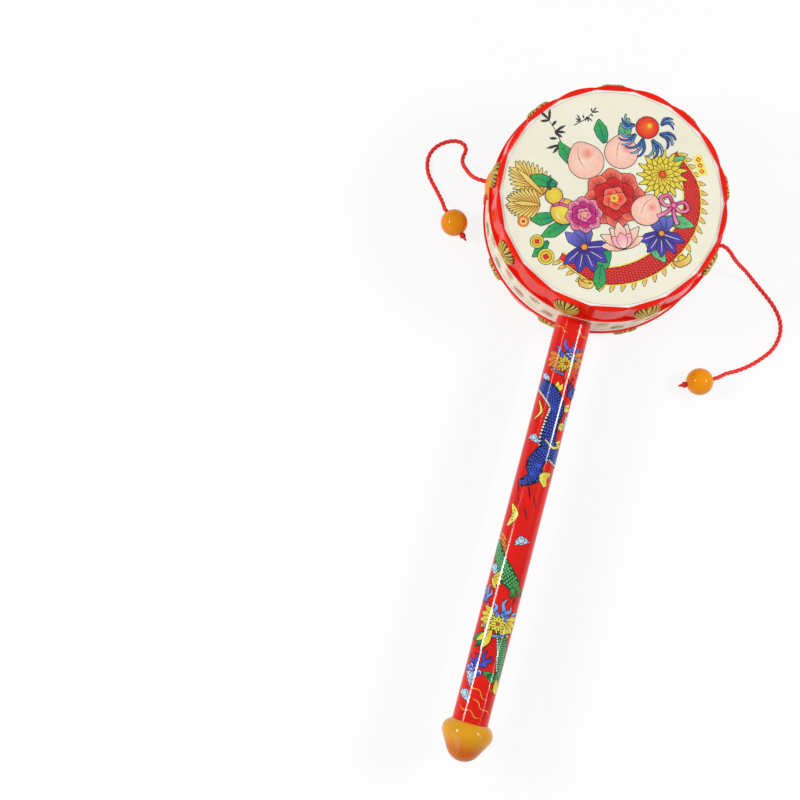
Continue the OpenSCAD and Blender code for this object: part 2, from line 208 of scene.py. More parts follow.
def rope_mesh(name, line, swell=None):
    """A tube along a line, with the section of a twisted cord that turns as it goes."""
    points, faces, crests = [], [], []
    groove = rope_edge(math.pi / STRANDS)
    side = (line[1] - line[0]).normalized().cross(Vector((0, 0, 1))).normalized()
    gone = 0
    for i, middle in enumerate(line):
        ahead = (line[min(i + 1, len(line) - 1)] - line[max(i - 1, 0)]).normalized()
        side = (side - ahead * side.dot(ahead)).normalized()
        lift = ahead.cross(side)
        gone += (middle - line[i - 1]).length if i else 0
        twist = 2 * math.pi * gone / CORD_PITCH
        size = swell(i / (len(line) - 1)) if swell else 1
        for angle in full_turn(CORD_SIDES):
            r = rope_edge(angle - twist)
            points.append(middle + (side * math.cos(angle) + lift * math.sin(angle)) * r * size)
            crests.append((r - groove) / (cord_r - groove))
    for i in range(len(line) - 1):
        for s in range(CORD_SIDES):
            a, b = i * CORD_SIDES + s, i * CORD_SIDES + (s + 1) % CORD_SIDES
            faces.append((a, b, b + CORD_SIDES, a + CORD_SIDES))
    last = len(points) - CORD_SIDES
    faces.append(list(range(CORD_SIDES))[::-1])
    faces.append([last + s for s in range(CORD_SIDES)])
    return new_mesh(name, points, faces, crests)


def make_cord(side, route):
    line = cord_line(side, route)
    name = side + "_twisted_cord"
    cord = new_object(name, rope_mesh(name, line), None)
    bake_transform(cord)
    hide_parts(side + "_cord")
    return cord


def tail_size(t):
    knot = math.exp(-((t - KNOT_AT_SHARE) / KNOT_REACH_SHARE) ** 2)
    return TAIL_SHARE + KNOT_SHARE * knot + TOP_SHARE * (1 - t)


def make_tail():
    """The short end beside the left plug: a small tight knot near its top, thinning to its tip."""
    low, high = (Vector(corner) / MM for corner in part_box("left_cord_tail"))
    middle = (low + high) / 2
    top, tip = Vector((middle.x, high.y, middle.z)), Vector((middle.x, low.y, middle.z))
    line = smooth_line([top, top * 0.7 + tip * 0.3, top * 0.3 + tip * 0.7, tip], CORD_STEP)
    name = "left_knotted_tail"
    tail = new_object(name, rope_mesh(name, line, tail_size), "drum")
    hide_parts("left_cord_tail")
    return tail


cords = [
    make_cord("left", LEFT_ROUTE),
    make_cord("right", RIGHT_ROUTE),
    make_tail(),
]


# Rosettes

ROSETTES = 9
RIBS = 16
ROSETTE_W, ROSETTE_H = 10.8, 9.4
ROSETTE_PROUD, ROSETTE_SUNK = 1.4, 0.75
WALL_MID_R, WALL_MID_Z, WALL_SLOPE = 48.0, 18.0, 7.386
RING_TURNS = {"front": -97.5, "back": -100}
HUB_SHARE = 0.2
HUB_HEIGHT_SHARE = 0.8
# Shares of the way from the hub to the edge, each with its share of the height
CROWN_SHARES = (
    (0.08, 0.84), (0.14, 0.7), (0.2, 0.92), (0.34, 1.0), (0.5, 0.98), (0.64, 0.93), (0.78, 0.8), (0.9, 0.58),
    (0.97, 0.34), (1.0, 0.1),
)
FOOT_SHARE = 0.97
SPOKES = 128
RIB_DEPTH = 0.5
SCALLOP_SHARE = 0.05
OVAL_POWER = 0.8


def rosette_point(end, index, x, y, z):
    """Puts a point of a rosette, drawn flat, on its lobe's wall. Its +X is towards the foot."""
    tilt = math.radians(90 - WALL_SLOPE)
    out = WALL_MID_R + x * math.cos(tilt) + z * math.sin(tilt)
    up = WALL_MID_Z - x * math.sin(tilt) + z * math.cos(tilt)
    turn = math.radians(RING_TURNS[end] + 360 / ROSETTES * (index - 1))
    flip = 1 if end == "front" else -1
    return drum_middle + Vector((
        out * math.cos(turn) - y * math.sin(turn), out * math.sin(turn) + y * math.cos(turn), flip * up
    ))


def oval_edge(a, share):
    """A point on the edge of a full oval, moved in by a share."""
    x, y = (math.copysign(abs(value) ** OVAL_POWER, value) for value in (math.cos(a), math.sin(a)))
    return x * ROSETTE_H / 2 * share, y * ROSETTE_W / 2 * share


def make_rosette(end, index):
    """A crowned oval with ribs that fan out from a hub near its foot."""
    hub = HUB_SHARE * ROSETTE_H
    points = [rosette_point(end, index, hub, 0, ROSETTE_PROUD * HUB_HEIGHT_SHARE)]
    crests = [1.0]
    spokes = full_turn(SPOKES)
    for share, height in CROWN_SHARES:
        for a in spokes:
            rib = (1 + math.cos(RIBS * a)) / 2
            edge_x, edge_y = oval_edge(a, 1 - SCALLOP_SHARE * (1 - rib) * share)
            depth = RIB_DEPTH * (1 - rib ** 0.6) * min(1.0, share * 3) * (1 if share < 0.9 else 0.5)
            points.append(rosette_point(
                end, index, hub + (edge_x - hub) * share, edge_y * share, ROSETTE_PROUD * height - depth
            ))
            # Painted shade mask: low in the grooves, in a ring round the hub and at the foot, where the gold
            # is darkened
            crests.append(rib if share > 0.16 else (0.1 if share > 0.1 else 1.0))
    points += [rosette_point(end, index, *oval_edge(a, FOOT_SHARE), -ROSETTE_SUNK) for a in spokes]
    crests += [0.0] * SPOKES
    rings = [[1 + j * SPOKES + s for s in range(SPOKES)] for j in range(len(CROWN_SHARES) + 1)]
    steps = [(s, (s + 1) % SPOKES) for s in range(SPOKES)]
    faces = []
    for upper, lower in zip(rings, rings[1:]):
        faces += [(upper[s], lower[s], lower[t], upper[t]) for s, t in steps]
    faces += [(0, rings[0][s], rings[0][t]) for s, t in steps]
    faces.append(rings[-1][::-1])
    if end == "back":
        faces = [tuple(face)[::-1] for face in faces]
    name = f"{end}_rosette_{index}_ribbed"
    rosette = new_object(name, new_mesh(name, points, faces, crests), "drum")
    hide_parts(f"{end}_rosette_{index}")
    return rosette


rosettes = [make_rosette(end, index) for end in ("front", "back") for index in range(1, ROSETTES + 1)]


# Materials

def empty_tree(owner):
    """The node tree of a material or a world, with nothing in it."""
    owner.use_nodes = True
    owner.node_tree.nodes.clear()
    return owner.node_tree


def new_material(name):
    material = bpy.data.materials.new(name)
    tree = empty_tree(material)
    shader = tree.nodes.new("ShaderNodeBsdfPrincipled")
    out = tree.nodes.new("ShaderNodeOutputMaterial")
    tree.links.new(shader.outputs["BSDF"], out.inputs["Surface"])
    return material, tree, shader


def own_place(tree):
    """Coordinates in the piece's own frame, in metres."""
    return tree.nodes.new("ShaderNodeTexCoord").outputs["Object"]


def noise(tree, scale, detail):
    node = tree.nodes.new("ShaderNodeTexNoise")
    node.inputs["Scale"].default_value = scale
    node.inputs["Detail"].default_value = detail
    tree.links.new(own_place(tree), node.inputs["Vector"])
    return node.outputs["Fac"]


def attribute(tree, name):
    node = tree.nodes.new("ShaderNodeAttribute")
    node.attribute_name = name
    return node


def between(tree, value, low=0, high=1, start=0.3, end=0.7):
    """Turns a value from start to end, where most noise lies, into one from low to high."""
    node = tree.nodes.new("ShaderNodeMapRange")
    node.inputs["From Min"].default_value = start
    node.inputs["From Max"].default_value = end
    node.inputs["To Min"].default_value = low
    node.inputs["To Max"].default_value = high
    tree.links.new(value, node.inputs["Value"])
    return node.outputs["Result"]


def mixed(tree, factor, first, second):
    node = tree.nodes.new("ShaderNodeMix")
    node.data_type = "RGBA"
    tree.links.new(factor, node.inputs["Factor"])
    for socket, colour in ((node.inputs["A"], first), (node.inputs["B"], second)):
        if isinstance(colour, tuple):
            socket.default_value = (*colour, 1)
        else:
            tree.links.new(colour, socket)
    return node.outputs["Result"]


def bumped(tree, shader, height, depth_mm):
    node = tree.nodes.new("ShaderNodeBump")
    node.inputs["Distance"].default_value = depth_mm * MM
    tree.links.new(height, node.inputs["Height"])
    tree.links.new(node.outputs["Normal"], shader.inputs["Normal"])


def moulded(name, colour, shade, roughness, ior=1.42, ripple_mm=0.02, subsurface=0.0, painted_shade=None):
    """Moulded gloss plastic: slight clouding of its colour, uneven polish, a faint ripple and, if given,
    painted shade towards one end.
    """
    material, tree, shader = new_material(name)
    tone = mixed(tree, between(tree, noise(tree, 60, 3)), shade, colour)
    # Painted shade: if given, the colour turns to a darker one along the piece's Y, between a start and an
    # end
    if painted_shade:
        start, end, far = painted_shade
        split = tree.nodes.new("ShaderNodeSeparateXYZ")
        tree.links.new(own_place(tree), split.inputs[0])
        tone = mixed(tree, between(tree, split.outputs["Y"], 1, 0, end * MM, start * MM), tone, far)
    tree.links.new(tone, shader.inputs["Base Color"])
    polish = between(tree, noise(tree, 120, 3), roughness * 0.85, roughness * 1.2)
    tree.links.new(polish, shader.inputs["Roughness"])
    if ripple_mm:
        bumped(tree, shader, noise(tree, 180, 2), ripple_mm)
    shader.inputs["IOR"].default_value = ior
    if subsurface:
        shader.inputs["Subsurface Weight"].default_value = subsurface
        shader.inputs["Subsurface Radius"].default_value = (1.0, 0.45, 0.1)
        shader.inputs["Subsurface Scale"].default_value = 2.5 * MM
    return material


RED = (0.86, 0.014, 0.002)
RED_SHADE = (0.72, 0.008, 0.001)
AMBER = (0.86, 0.32, 0.001)
AMBER_SHADE = (0.74, 0.21, 0.001)
CREAM = (0.84, 0.82, 0.67)
CREAM_SHADE = (0.78, 0.76, 0.60)
# The cap darkens towards its nose as painted shade, for the light passing through its translucent plastic:
# the shade's start and end along the handle, and its darker colour
CAP_PAINTED_SHADE = (-131.5, -136.5, (0.58, 0.13, 0.0005))

ring_red = moulded("ring_red", RED, RED_SHADE, 0.16, 1.27)
tube_red = moulded("tube_red", RED, RED_SHADE, 0.16)
sleeve_red = moulded("sleeve_red", (0.72, 0.009, 0.003), (0.62, 0.005, 0.002), 0.12, 1.36, 0)
shell_red = moulded("shell_red", (0.45, 0.01, 0.01), (0.36, 0.008, 0.008), 0.4)
amber = moulded("amber_plastic", AMBER, AMBER_SHADE, 0.12, 1.3, subsurface=0.12)
cap_amber = moulded("cap_amber", (0.72, 0.34, 0.012), (0.66, 0.28, 0.008), 0.12, 1.36, 0.01, 0.15, CAP_PAINTED_SHADE)


def film(name, shade, colour):
    """Tight film or paper, with faint mottling and a soft sheen."""
    material, tree, shader = new_material(name)
    mottle = mixed(tree, between(tree, noise(tree, 45, 4)), shade, colour)
    tree.links.new(mottle, shader.inputs["Base Color"])
    shader.inputs["Roughness"].default_value = 0.42
    bumped(tree, shader, noise(tree, 1400, 2), 0.006)
    return material


head_film = film("head_film", CREAM_SHADE, CREAM)
band_paper = film("band_paper", (0.80, 0.68, 0.50), (0.90, 0.81, 0.64))


def gilt(name):
    """Olive gold paint on the ribs, worn in places, with dark brown painted shade in the grooves, round the
    hub and at the foot.
    """
    material, tree, shader = new_material(name)
    worn = noise(tree, 500, 3)
    gold = mixed(tree, between(tree, worn), (0.46, 0.27, 0.02), (0.72, 0.50, 0.07))
    # Painted shade: dark brown where the crest mask is low, in the grooves, round the hub and at the foot
    depth = between(tree, attribute(tree, "crest").outputs["Fac"], 0, 1, 0.18, 0.62)
    tree.links.new(mixed(tree, depth, (0.05, 0.022, 0.004), gold), shader.inputs["Base Color"])
    shader.inputs["Roughness"].default_value = 0.3
    shader.inputs["Metallic"].default_value = 0.25
    bumped(tree, shader, worn, 0.03)
    return material


rosette_gold = gilt("rosette_gold")
for rosette in rosettes:
    rosette.data.materials.append(rosette_gold)


def cord_fibre(name):
    """Red twisted cord with fine fibres, darkened in the grooves between its strands as painted shade."""
    material, tree, shader = new_material(name)
    # Painted shade: the lower a point lies between the strands, the darker its red
    depth = between(tree, attribute(tree, "crest").outputs["Fac"], 0, 1, 0.1, 0.75)
    tone = mixed(tree, depth, (0.36, 0.003, 0.003), (0.95, 0.014, 0.008))
    tree.links.new(tone, shader.inputs["Base Color"])
    shader.inputs["Roughness"].default_value = 0.55
    bumped(tree, shader, noise(tree, 2500, 3), 0.05)
    return material


def knot_fibre(name):
    """The knots' red, mottled by their fibres."""
    material, tree, shader = new_material(name)
    fibre = noise(tree, 1800, 3)
    tone = mixed(tree, between(tree, fibre), (0.42, 0.003, 0.003), (0.90, 0.012, 0.008))
    tree.links.new(tone, shader.inputs["Base Color"])
    shader.inputs["Roughness"].default_value = 0.6
    bumped(tree, shader, fibre, 0.08)
    return material


cord_red = cord_fibre("cord_red")
knot_red = knot_fibre("knot_red")
for cord in cords:
    cord.data.materials.append(cord_red)

LOOKS = {
    "ring": ring_red, "rosette": rosette_gold, "head": head_film, "shell": shell_red, "band": band_paper,
    "tube": tube_red, "sleeve": sleeve_red, "amber": amber, "cord": knot_red,
}


def dress_nodes():
    """Gives every carried-over node the material of its slot."""
    slots = {part["node"]: part["material_slot"] for part in frame["record"]["subparts"]}
    for name, node in frame["nodes"].items():
        for place in node.material_slots:
            place.material = cap_amber if name == "end_cap" else LOOKS[slots[name]]


dress_nodes()


# Printed pictures

# The lowest shape's height over the piece, the step to the next one, and how far all are let in
INK_FIRST = 0.012
INK_STEP = 0.004
INK_SUNK = 0.03
# Prints are cut into strips of this width where they bend round the handle and the band
SLEEVE_CUT = 0.7
BAND_CUT = 2.0
SHARP_DEGREES = 35
LINE_MM = 0.26
SLEEVE_LINE_MM = 0.2
BAND_LINE_MM = 0.1


def srgb(r, g, b):
    """A linear colour from screen values of 0 to 255."""
    return tuple((c / 255 / 12.92) if c <= 10 else ((c / 255 + 0.055) / 1.055) ** 2.4 for c in (r, g, b))


BLACK = srgb(28, 24, 26)
INK_GREY = srgb(70, 66, 66)
OLIVE = srgb(96, 72, 18)
WHITE = srgb(240, 240, 236)
LEMON = srgb(236, 226, 70)
GOLD = srgb(226, 184, 60)
PALE_GOLD = srgb(240, 222, 130)
OCHRE = srgb(222, 150, 40)
ORANGE = srgb(238, 112, 28)
SCARLET = srgb(226, 30, 28)
CRIMSON = srgb(168, 14, 30)
MAGENTA = srgb(222, 40, 140)
PINK = srgb(248, 150, 178)
SKIN = srgb(250, 216, 196)
BLUSH = srgb(240, 150, 130)
VIOLET = srgb(78, 62, 176)
DEEP_VIOLET = srgb(48, 36, 130)
BLUE = srgb(52, 84, 208)
NAVY = srgb(18, 24, 66)
STEEL = srgb(52, 104, 160)
SKY = srgb(150, 205, 245)
LILAC = srgb(118, 122, 214)
TEAL = srgb(20, 140, 110)
GREEN = srgb(58, 176, 76)
DARK_GREEN = srgb(8, 84, 46)
LEAF_PALE = srgb(120, 200, 130)


def times(size, *points):
    """Points given as shares of a size."""
    return [(size * x, size * y) for x, y in points]


class Sheet:
    """Printed shapes on a flat sheet."""

    def __init__(self):
        self.shapes = []

    def put(self, points, inks, faces):
        """Adds a shape, one level above those that its box meets."""
        low = [min(p[i] for p in points) for i in (0, 1)]
        high = [max(p[i] for p in points) for i in (0, 1)]
        level = 0
        for shape in self.shapes:
            if all(shape["low"][i] < high[i] and shape["high"][i] > low[i] for i in (0, 1)):
                level = max(level, shape["level"] + 1)
        self.shapes.append(dict(points=points, inks=inks, faces=faces, low=low, high=high, level=level))


class Brush:
    """Draws on a sheet from its own place, turn and scale. A flip of -1 mirrors what it draws."""

    def __init__(self, sheet, place=(0, 0), turn=0, scale=1, line=BLACK, thick=LINE_MM, flip=1):
        self.sheet, self.place, self.turn, self.scale = sheet, Vector(place), turn, scale
        self.line, self.thick, self.flip = line, thick, flip

    def at(self, x, y, turn=0, line=None):
        """The same brush at another place and turn, seen from this one."""
        place, turn = self.out((x, y)), self.turn + turn * self.flip
        return Brush(self.sheet, place, turn, self.scale, line or self.line, self.thick, self.flip)

    def out(self, p):
        a = math.radians(self.turn)
        x, y = p[0] * self.scale * self.flip, p[1] * self.scale
        return self.place + Vector((x * math.cos(a) - y * math.sin(a), x * math.sin(a) + y * math.cos(a)))

    def fan(self, rim, ink, rim_ink=None, middle=None, lined=True):
        """A filled outline that its middle sees whole, shaded from the middle to the rim."""
        rim = [self.out(p) for p in rim]
        middle = self.out(middle) if middle else sum(rim, Vector((0, 0))) / len(rim)
        count = len(rim)
        faces = [(0, i + 1, (i + 1) % count + 1) for i in range(count)]
        if lined:
            wide = []
            for i, p in enumerate(rim):
                along = (rim[(i + 1) % count] - rim[i - 1]).normalized()
                off = Vector((along.y, -along.x))
                wide.append(p + off * (self.thick if off.dot(p - middle) > 0 else -self.thick))
            self.sheet.put([middle] + wide, [self.line] * (count + 1), faces)
        self.sheet.put([middle] + rim, [ink] + [rim_ink or ink] * count, faces)

    def disc(self, x, y, r, ink, rim_ink=None, lined=True, bumps=0, rise=0.0, count=20, squash=1.0):
        rim = []
        for a in full_turn(count):
            reach = r * (1 + rise * math.cos(bumps * a))
            rim.append((x + reach * math.cos(a), y + reach * math.sin(a) * squash))
        self.fan(rim, ink, rim_ink, (x, y), lined)

    def stroke(self, points, widths, ink, tip_ink=None, lined=True, fine=5):
        """A band along a smooth line, with a width at each of its points."""
        line, reach = [], []
        ends = [points[0]] + list(points) + [points[-1]]
        for k in range(len(points) - 1):
            near = [Vector(p) for p in ends[k:k + 4]]
            for i in range(fine + (k == len(points) - 2)):
                t = i / fine
                line.append(self.out(curve_point(*near, t)))
                reach.append((widths[k] * (1 - t) + widths[k + 1] * t) * self.scale / 2)
        if lined:
            first, last = (line[0] - line[1]).normalized(), (line[-1] - line[-2]).normalized()
            wide = [line[0] + first * self.thick] + line[1:-1] + [line[-1] + last * self.thick]
            self.band(wide, [r + self.thick for r in reach], self.line, self.line)
        self.band(line, reach, ink, tip_ink or ink)

    def mark(self, points, widths, ink, fine=5):
        """A stroke of one colour, with no line round it."""
        self.stroke(points, widths, ink, None, False, fine)

    def band(self, line, reach, ink, tip_ink):
        points, inks, last = [], [], len(line) - 1
        for i, p in enumerate(line):
            way = (line[min(i + 1, last)] - line[max(i - 1, 0)]).normalized()
            off = Vector((-way.y, way.x)) * max(reach[i], 0.02)
            points += [p + off, p - off]
            inks += [tuple(a + (b - a) * i / last for a, b in zip(ink, tip_ink))] * 2
        faces = [(2 * i, 2 * i + 1, 2 * i + 3, 2 * i + 2) for i in range(last)]
        self.sheet.put(points, inks, faces)

    def petal(self, length, width, ink, tip_ink=None, bend=0.0, lined=True, blunt=0.5):
        points = [(0, 0), (length * 0.3, bend * 0.35), (length * 0.65, bend * 0.8), (length, bend * 0.75)]
        self.stroke(points, (width * 0.25, width * 0.85, width, width * 0.1 * blunt), ink, tip_ink, lined, 4)

    def petals(self, x, y, turns, *shape):
        """The same petal at each of the turns about one place."""
        for turn in turns:
            self.at(x, y, turn).petal(*shape)


def leaf(b, length, width, ink, tip, bend):
    b.petal(length, width, ink, tip, bend)
    b.mark([(0, 0), (length * 0.4, bend * 0.5), (length * 0.9, bend * 0.8)], (0.22, 0.2, 0.08), DARK_GREEN)
    for part in (0.3, 0.5, 0.7):
        for s in (-1, 1):
            root = (length * part, bend * part * 0.95)
            tip_at = (length * (part + 0.14), root[1] + s * width * 0.32)
            b.mark([root, tip_at], (0.14, 0.06), DARK_GREEN, 2)


def peony(b, r, dark, mid, light):
    """A full flower: three rows of frilled petals round a gold heart."""
    for row, (count, off, size) in enumerate(((8, 0.66, 0.36), (6, 0.4, 0.3), (5, 0.18, 0.22))):
        for k in range(count):
            p = b.at(0, 0, 360 * (k + row * 0.4) / count)
            p.disc(off * r, 0, size * r, (dark, dark, mid)[row], (light, mid, light)[row], True, 5, 0.07, 22)
            if row < 2:
                for s in (-0.5, 0, 0.5):
                    fold = [(off * r * 0.9, s * size * r * 0.4), (off * r + size * r * 0.62, s * size * r)]
                    p.mark(fold, (0.12, 0.2), dark, 2)
    for a in full_turn(7):
        b.disc(0.1 * r * math.cos(a), 0.1 * r * math.sin(a), 0.045 * r, GOLD, LEMON, False, count=8)


def chrysanthemum(b, r, ink, tip, line=OLIVE, rows=3, count=15):
    b = b.at(0, 0, 0, line)
    for row in range(rows):
        turns = [360 * (k + 0.5 * row) / count for k in range(count)]
        b.petals(0, 0, turns, r * (1 - 0.27 * row), r * 0.21, ink, tip, r * 0.09)
    b.disc(0, 0, r * 0.13, ORANGE, SCARLET, count=10)


def lotus(b, r):
    for spread, reach, wide in ((78, 0.86, 0.34), (52, 1.0, 0.36), (26, 0.92, 0.38)):
        for s in (-1, 1):
            b.at(0, 0, 90 + s * spread).petal(r * reach, r * wide, BLUSH, SKIN, s * r * -0.1)
    b.at(0, 0, 90).petal(r * 1.04, r * 0.44, BLUSH, SKIN)
    for s in (-1, 1):
        b.at(0, 0, 90 + s * 40).petal(r * 0.62, r * 0.36, SKIN, PINK, s * r * -0.06)
    b.at(0, 0, 90).petal(r * 0.6, r * 0.4, SKIN, PINK)


def peach(b, r):
    """A pale peach with a blushing side and a crease."""
    rim = []
    for a in full_turn(26):
        point = 0.22 * max(0.0, math.cos(a - math.pi / 2)) ** 9
        rim.append((r * (1 + point) * math.cos(a) * 1.02, r * (1 + point) * math.sin(a)))
    b.fan(rim, SKIN, srgb(247, 190, 170), (-0.2 * r, 0.15 * r))
    b.disc(0.28 * r, 0.42 * r, 0.42 * r, srgb(240, 134, 120), srgb(248, 200, 180), False, count=16)
    b.mark(times(r, (0, 1.05), (-0.28, 0.4), (-0.24, -0.35)), (0.1, 0.3, 0.08), srgb(196, 96, 84))


def iris(b, r):
    for turn in (200, 235, 270, 305, 340):
        p = b.at(0, 0, turn)
        p.petal(r * 1.02, r * 0.44, DEEP_VIOLET, VIOLET, r * 0.08)
        p.stroke([(r * 0.15, 0), (r * 0.8, r * 0.07)], (0.3, 0.14), LEMON, WHITE, False, 2)
    b.petals(0, 0, (58, 90, 122), r * 0.9, r * 0.42, DEEP_VIOLET, LILAC, r * 0.05)
    b.disc(0, 0, r * 0.12, GOLD, ORANGE, count=10)


def ball_on_waves(b, r):
    """A red ball over curling blue waves."""
    for k, (x, y, turn, size) in enumerate((
        (-1.1, -0.7, 205, 1.5), (-0.4, -1.1, 240, 1.7), (0.5, -1.2, 285, 1.6), (1.2, -0.6, 330, 1.4),
        (-1.2, 0.2, 165, 1.2), (1.3, 0.3, 20, 1.1),
    )):
        for s in (-1, 0, 1):
            p = b.at(x * r, y * r, turn + 24 * s, NAVY)
            p.stroke(
                [(0, 0), (r * size * 0.5, r * 0.22), (r * size * 0.85, 0), (r * size, -r * 0.3)],
                (0.7, 0.62, 0.42, 0.1), STEEL, SKY if (k + s) % 2 else BLUE,
            )
    b.disc(0, 0, r, ORANGE, SCARLET, count=30)
    b.disc(0.2 * r, 0.15 * r, 0.3 * r, LEMON, ORANGE, False, count=16)


def plume(b, length, width):
    """A gold plume of curled barbs on a quill."""
    b = b.at(0, 0, 0, OLIVE)
    for k in range(9):
        part = k / 8
        for s in (-1, 1):
            p = b.at(length * 0.75 * part, 0, s * (74 - 52 * part))
            reach = width * (0.62 + 0.38 * math.sin(math.pi * (0.25 + 0.6 * part)))
            p.petal(reach, width * 0.2, OCHRE, PALE_GOLD, s * -width * 0.14)
    b.petal(length * 1.1, width * 0.2, GOLD, PALE_GOLD)


def along(points, part):
    """The place, the left side's direction and the turn of a smooth line, at a share of its spans."""
    at = min(part * (len(points) - 1), len(points) - 1.001)
    k, t = int(at), at - int(at)
    ends = [points[0]] + list(points) + [points[-1]]
    a, b, c, d = (Vector(p) for p in ends[k:k + 4])
    way = 0.5 * ((c - a) + 2 * (2 * a - 5 * b + 4 * c - d) * t + 3 * (3 * b - 3 * c + d - a) * t * t)
    way.normalize()
    return curve_point(a, b, c, d, t), Vector((-way.y, way.x)), math.degrees(math.atan2(way.y, way.x))


def width_at(widths, part):
    """The width at a share of a line's spans."""
    at = part * (len(widths) - 1)
    k = min(int(at), len(widths) - 2)
    return widths[k] + (widths[k + 1] - widths[k]) * (at - k)


def scaled_band(b, points, widths, ground, scale, tip, size, rim=None, beads=False):
    """A curved band covered with rows of small scales, with a plain rim or a row of beads."""
    b.stroke(points, widths, ground)
    length = sum((Vector(q) - Vector(p)).length for p, q in zip(points, points[1:]))
    rows = max(2, round(length / (size * 0.8)))
    for i in range(rows):
        part = (i + 0.5) / rows
        place, off, turn = along(points, part)
        wide = width_at(widths, part)
        count = max(1, int((wide - size * 0.5) / (size * 0.86)))
        for j in range(count):
            shift = (j - (count - 1) / 2 + (0.25 if i % 2 else -0.25)) * size * 0.86
            p = place + off * shift
            b.at(p.x, p.y, turn).disc(0, 0, size * 0.36, scale, tip, False, count=8, squash=0.86)
        if beads:
            p = place + off * wide * 0.5
            b.at(p.x, p.y, turn).disc(0, 0, size * 0.36, WHITE, srgb(206, 214, 196), count=8)
    if rim:
        for s in (-1, 1):
            edge = []
            for i in range(len(points)):
                place, off, turn = along(points, i / (len(points) - 1))
                edge.append(place + off * s * widths[i] * 0.5)
            b.mark(edge, [size * 0.34] * len(edge), rim)


def cloud(b, size):
    """Three puffs with a curl in each, over a tail to both sides."""
    b = b.at(0, 0, 0, NAVY)
    b.stroke(times(size, (-1.1, -0.2), (0, -0.12), (0.8, -0.3)), (0.1, size * 0.5, 0.1), SKY, WHITE)
    for x, y, r in ((-0.45, 0.02, 0.34), (0.4, 0.0, 0.3), (0, 0.22, 0.4)):
        b.disc(x * size, y * size, r * size, WHITE, SKY, count=16)
        curl = times(size, (x + r * 0.5, y), (x, y + r * 0.5), (x - r * 0.45, y), (x, y - r * 0.3))
        b.mark(curl, (0.1, size * 0.09, size * 0.09, 0.05), NAVY, 4)


def flames(b, count, length, width, ink, tip, line=BLACK, spread=16):
    """A cluster of curling tongues that fan out from one root."""
    b = b.at(0, 0, 0, line)
    for k in range(count):
        s = k - (count - 1) / 2
        reach = length * (1 - 0.12 * abs(s)) * (0.85 if k % 2 else 1)
        bend = -width if k % 2 else width
        tongue = [(0, 0), (reach * 0.35, bend * 0.35), (reach * 0.7, -bend * 0.2), (reach, bend * 0.35)]
        b.at(0, s * width * 0.55, s * spread).stroke(
            tongue, (width * 0.9, width * 0.8, width * 0.45, 0.06), ink, tip,
        )


def coin(b, r, ink=GOLD, edge=LEMON):
    b.disc(0, 0, r, ink, edge, count=22)
    b.disc(0, 0, r * 0.78, OLIVE, OLIVE, False, count=20)
    b.disc(0, 0, r * 0.7, ink, ink, False, count=20)
    h = r * 0.26
    b.fan([(-h, -h), (h, -h), (h, h), (-h, h)], SCARLET, SCARLET)


def ingot(b, w):
    b.disc(0, w * 0.16, w * 0.26, LEMON, GOLD, count=18)
    hull = times(w, (-0.55, 0.3), (-0.3, -0.02), (0.3, -0.02), (0.55, 0.3))
    b.stroke(hull, (0.2, w * 0.36, w * 0.36, 0.2), OCHRE, PALE_GOLD)


def gourd(b, r):
    b.disc(0, -r * 0.9, r, LEMON, GOLD, count=26)
    b.disc(0, r * 0.55, r * 0.64, LEMON, GOLD, count=22)
    b.stroke(times(r, (0, 1.1), (0.1, 1.5), (0.5, 1.75)), (0.7, 0.55, 0.3), DARK_GREEN, TEAL)
    b.stroke(times(r, (-0.5, -0.06), (0, -0.2), (0.5, -0.06)), (0.8, 0.9, 0.8), MAGENTA, PINK)
    b.stroke(times(r, (0, -0.2), (0.5, -0.8), (0.3, -1.5)), (0.9, 0.8, 0.5), MAGENTA, PINK)
    b.mark(times(r, (-0.5, -0.5), (-0.62, -1), (-0.4, -1.45)), (0.1, 0.35, 0.1), WHITE)


def bow(b, r):
    for s in (-1, 1):
        loop = times(r, (0, 0), (s * 0.6, 0.5), (s * 1.05, 0.1), (s * 0.6, -0.25), (0, 0))
        b.stroke(loop, (0.7, 1.0, 1.1, 1.0, 0.7), MAGENTA, PINK)
        b.stroke(times(r, (0, 0), (s * 0.3, -0.7), (s * 0.75, -1.2)), (0.8, 1.1, 1.3), MAGENTA, PINK)
    b.disc(0, 0, r * 0.2, PINK, MAGENTA, count=12)


def diamond_tag(b, w, h):
    """A lemon tag with three red diamonds."""
    b.fan([(-w, -h), (w, -h), (w, h), (-w, h)], LEMON, srgb(244, 232, 110), None, False)
    for k in (-0.58, 0, 0.58):
        for r, ink in ((w * 0.62, SCARLET), (w * 0.28, LEMON)):
            b.fan([(-r, k * h), (0, k * h - r), (r, k * h), (0, k * h + r)], ink, ink, None, False)


def bamboo(b, size):
    """A sprig of bamboo in black ink."""
    b.stroke(times(size, (0, -1), (0.1, 0), (-0.05, 1)), (0.4, 0.32, 0.18), BLACK, INK_GREY, False)
    for y, turn, reach in (
        (0.9, 60, 0.5), (0.9, 110, 0.56), (0.88, 160, 0.42), (0.3, 8, 0.6), (0.3, -26, 0.5),
        (0.25, -58, 0.38), (-0.3, 172, 0.62), (-0.32, 205, 0.5), (-0.36, 236, 0.36), (0.6, 20, 0.32),
        (0, 150, 0.34),
    ):
        b.at(0, y * size, turn).petal(size * reach, size * 0.13, BLACK, INK_GREY, size * 0.05, False, 0.2)


def sash(b, points, widths):
    """A red scaled sash with a gold fringe along its outer side."""
    tufts = 26
    for i in range(tufts):
        part = (i + 0.5) / tufts
        place, off, turn = along(points, part)
        p = place + off * width_at(widths, part) * 0.42
        b.at(p.x, p.y, turn + 62, OLIVE).petal(3.4, 1.25, OCHRE, PALE_GOLD, -0.5)
    scaled_band(b, points, widths, CRIMSON, SCARLET, srgb(240, 70, 50), 1.25, LEMON)


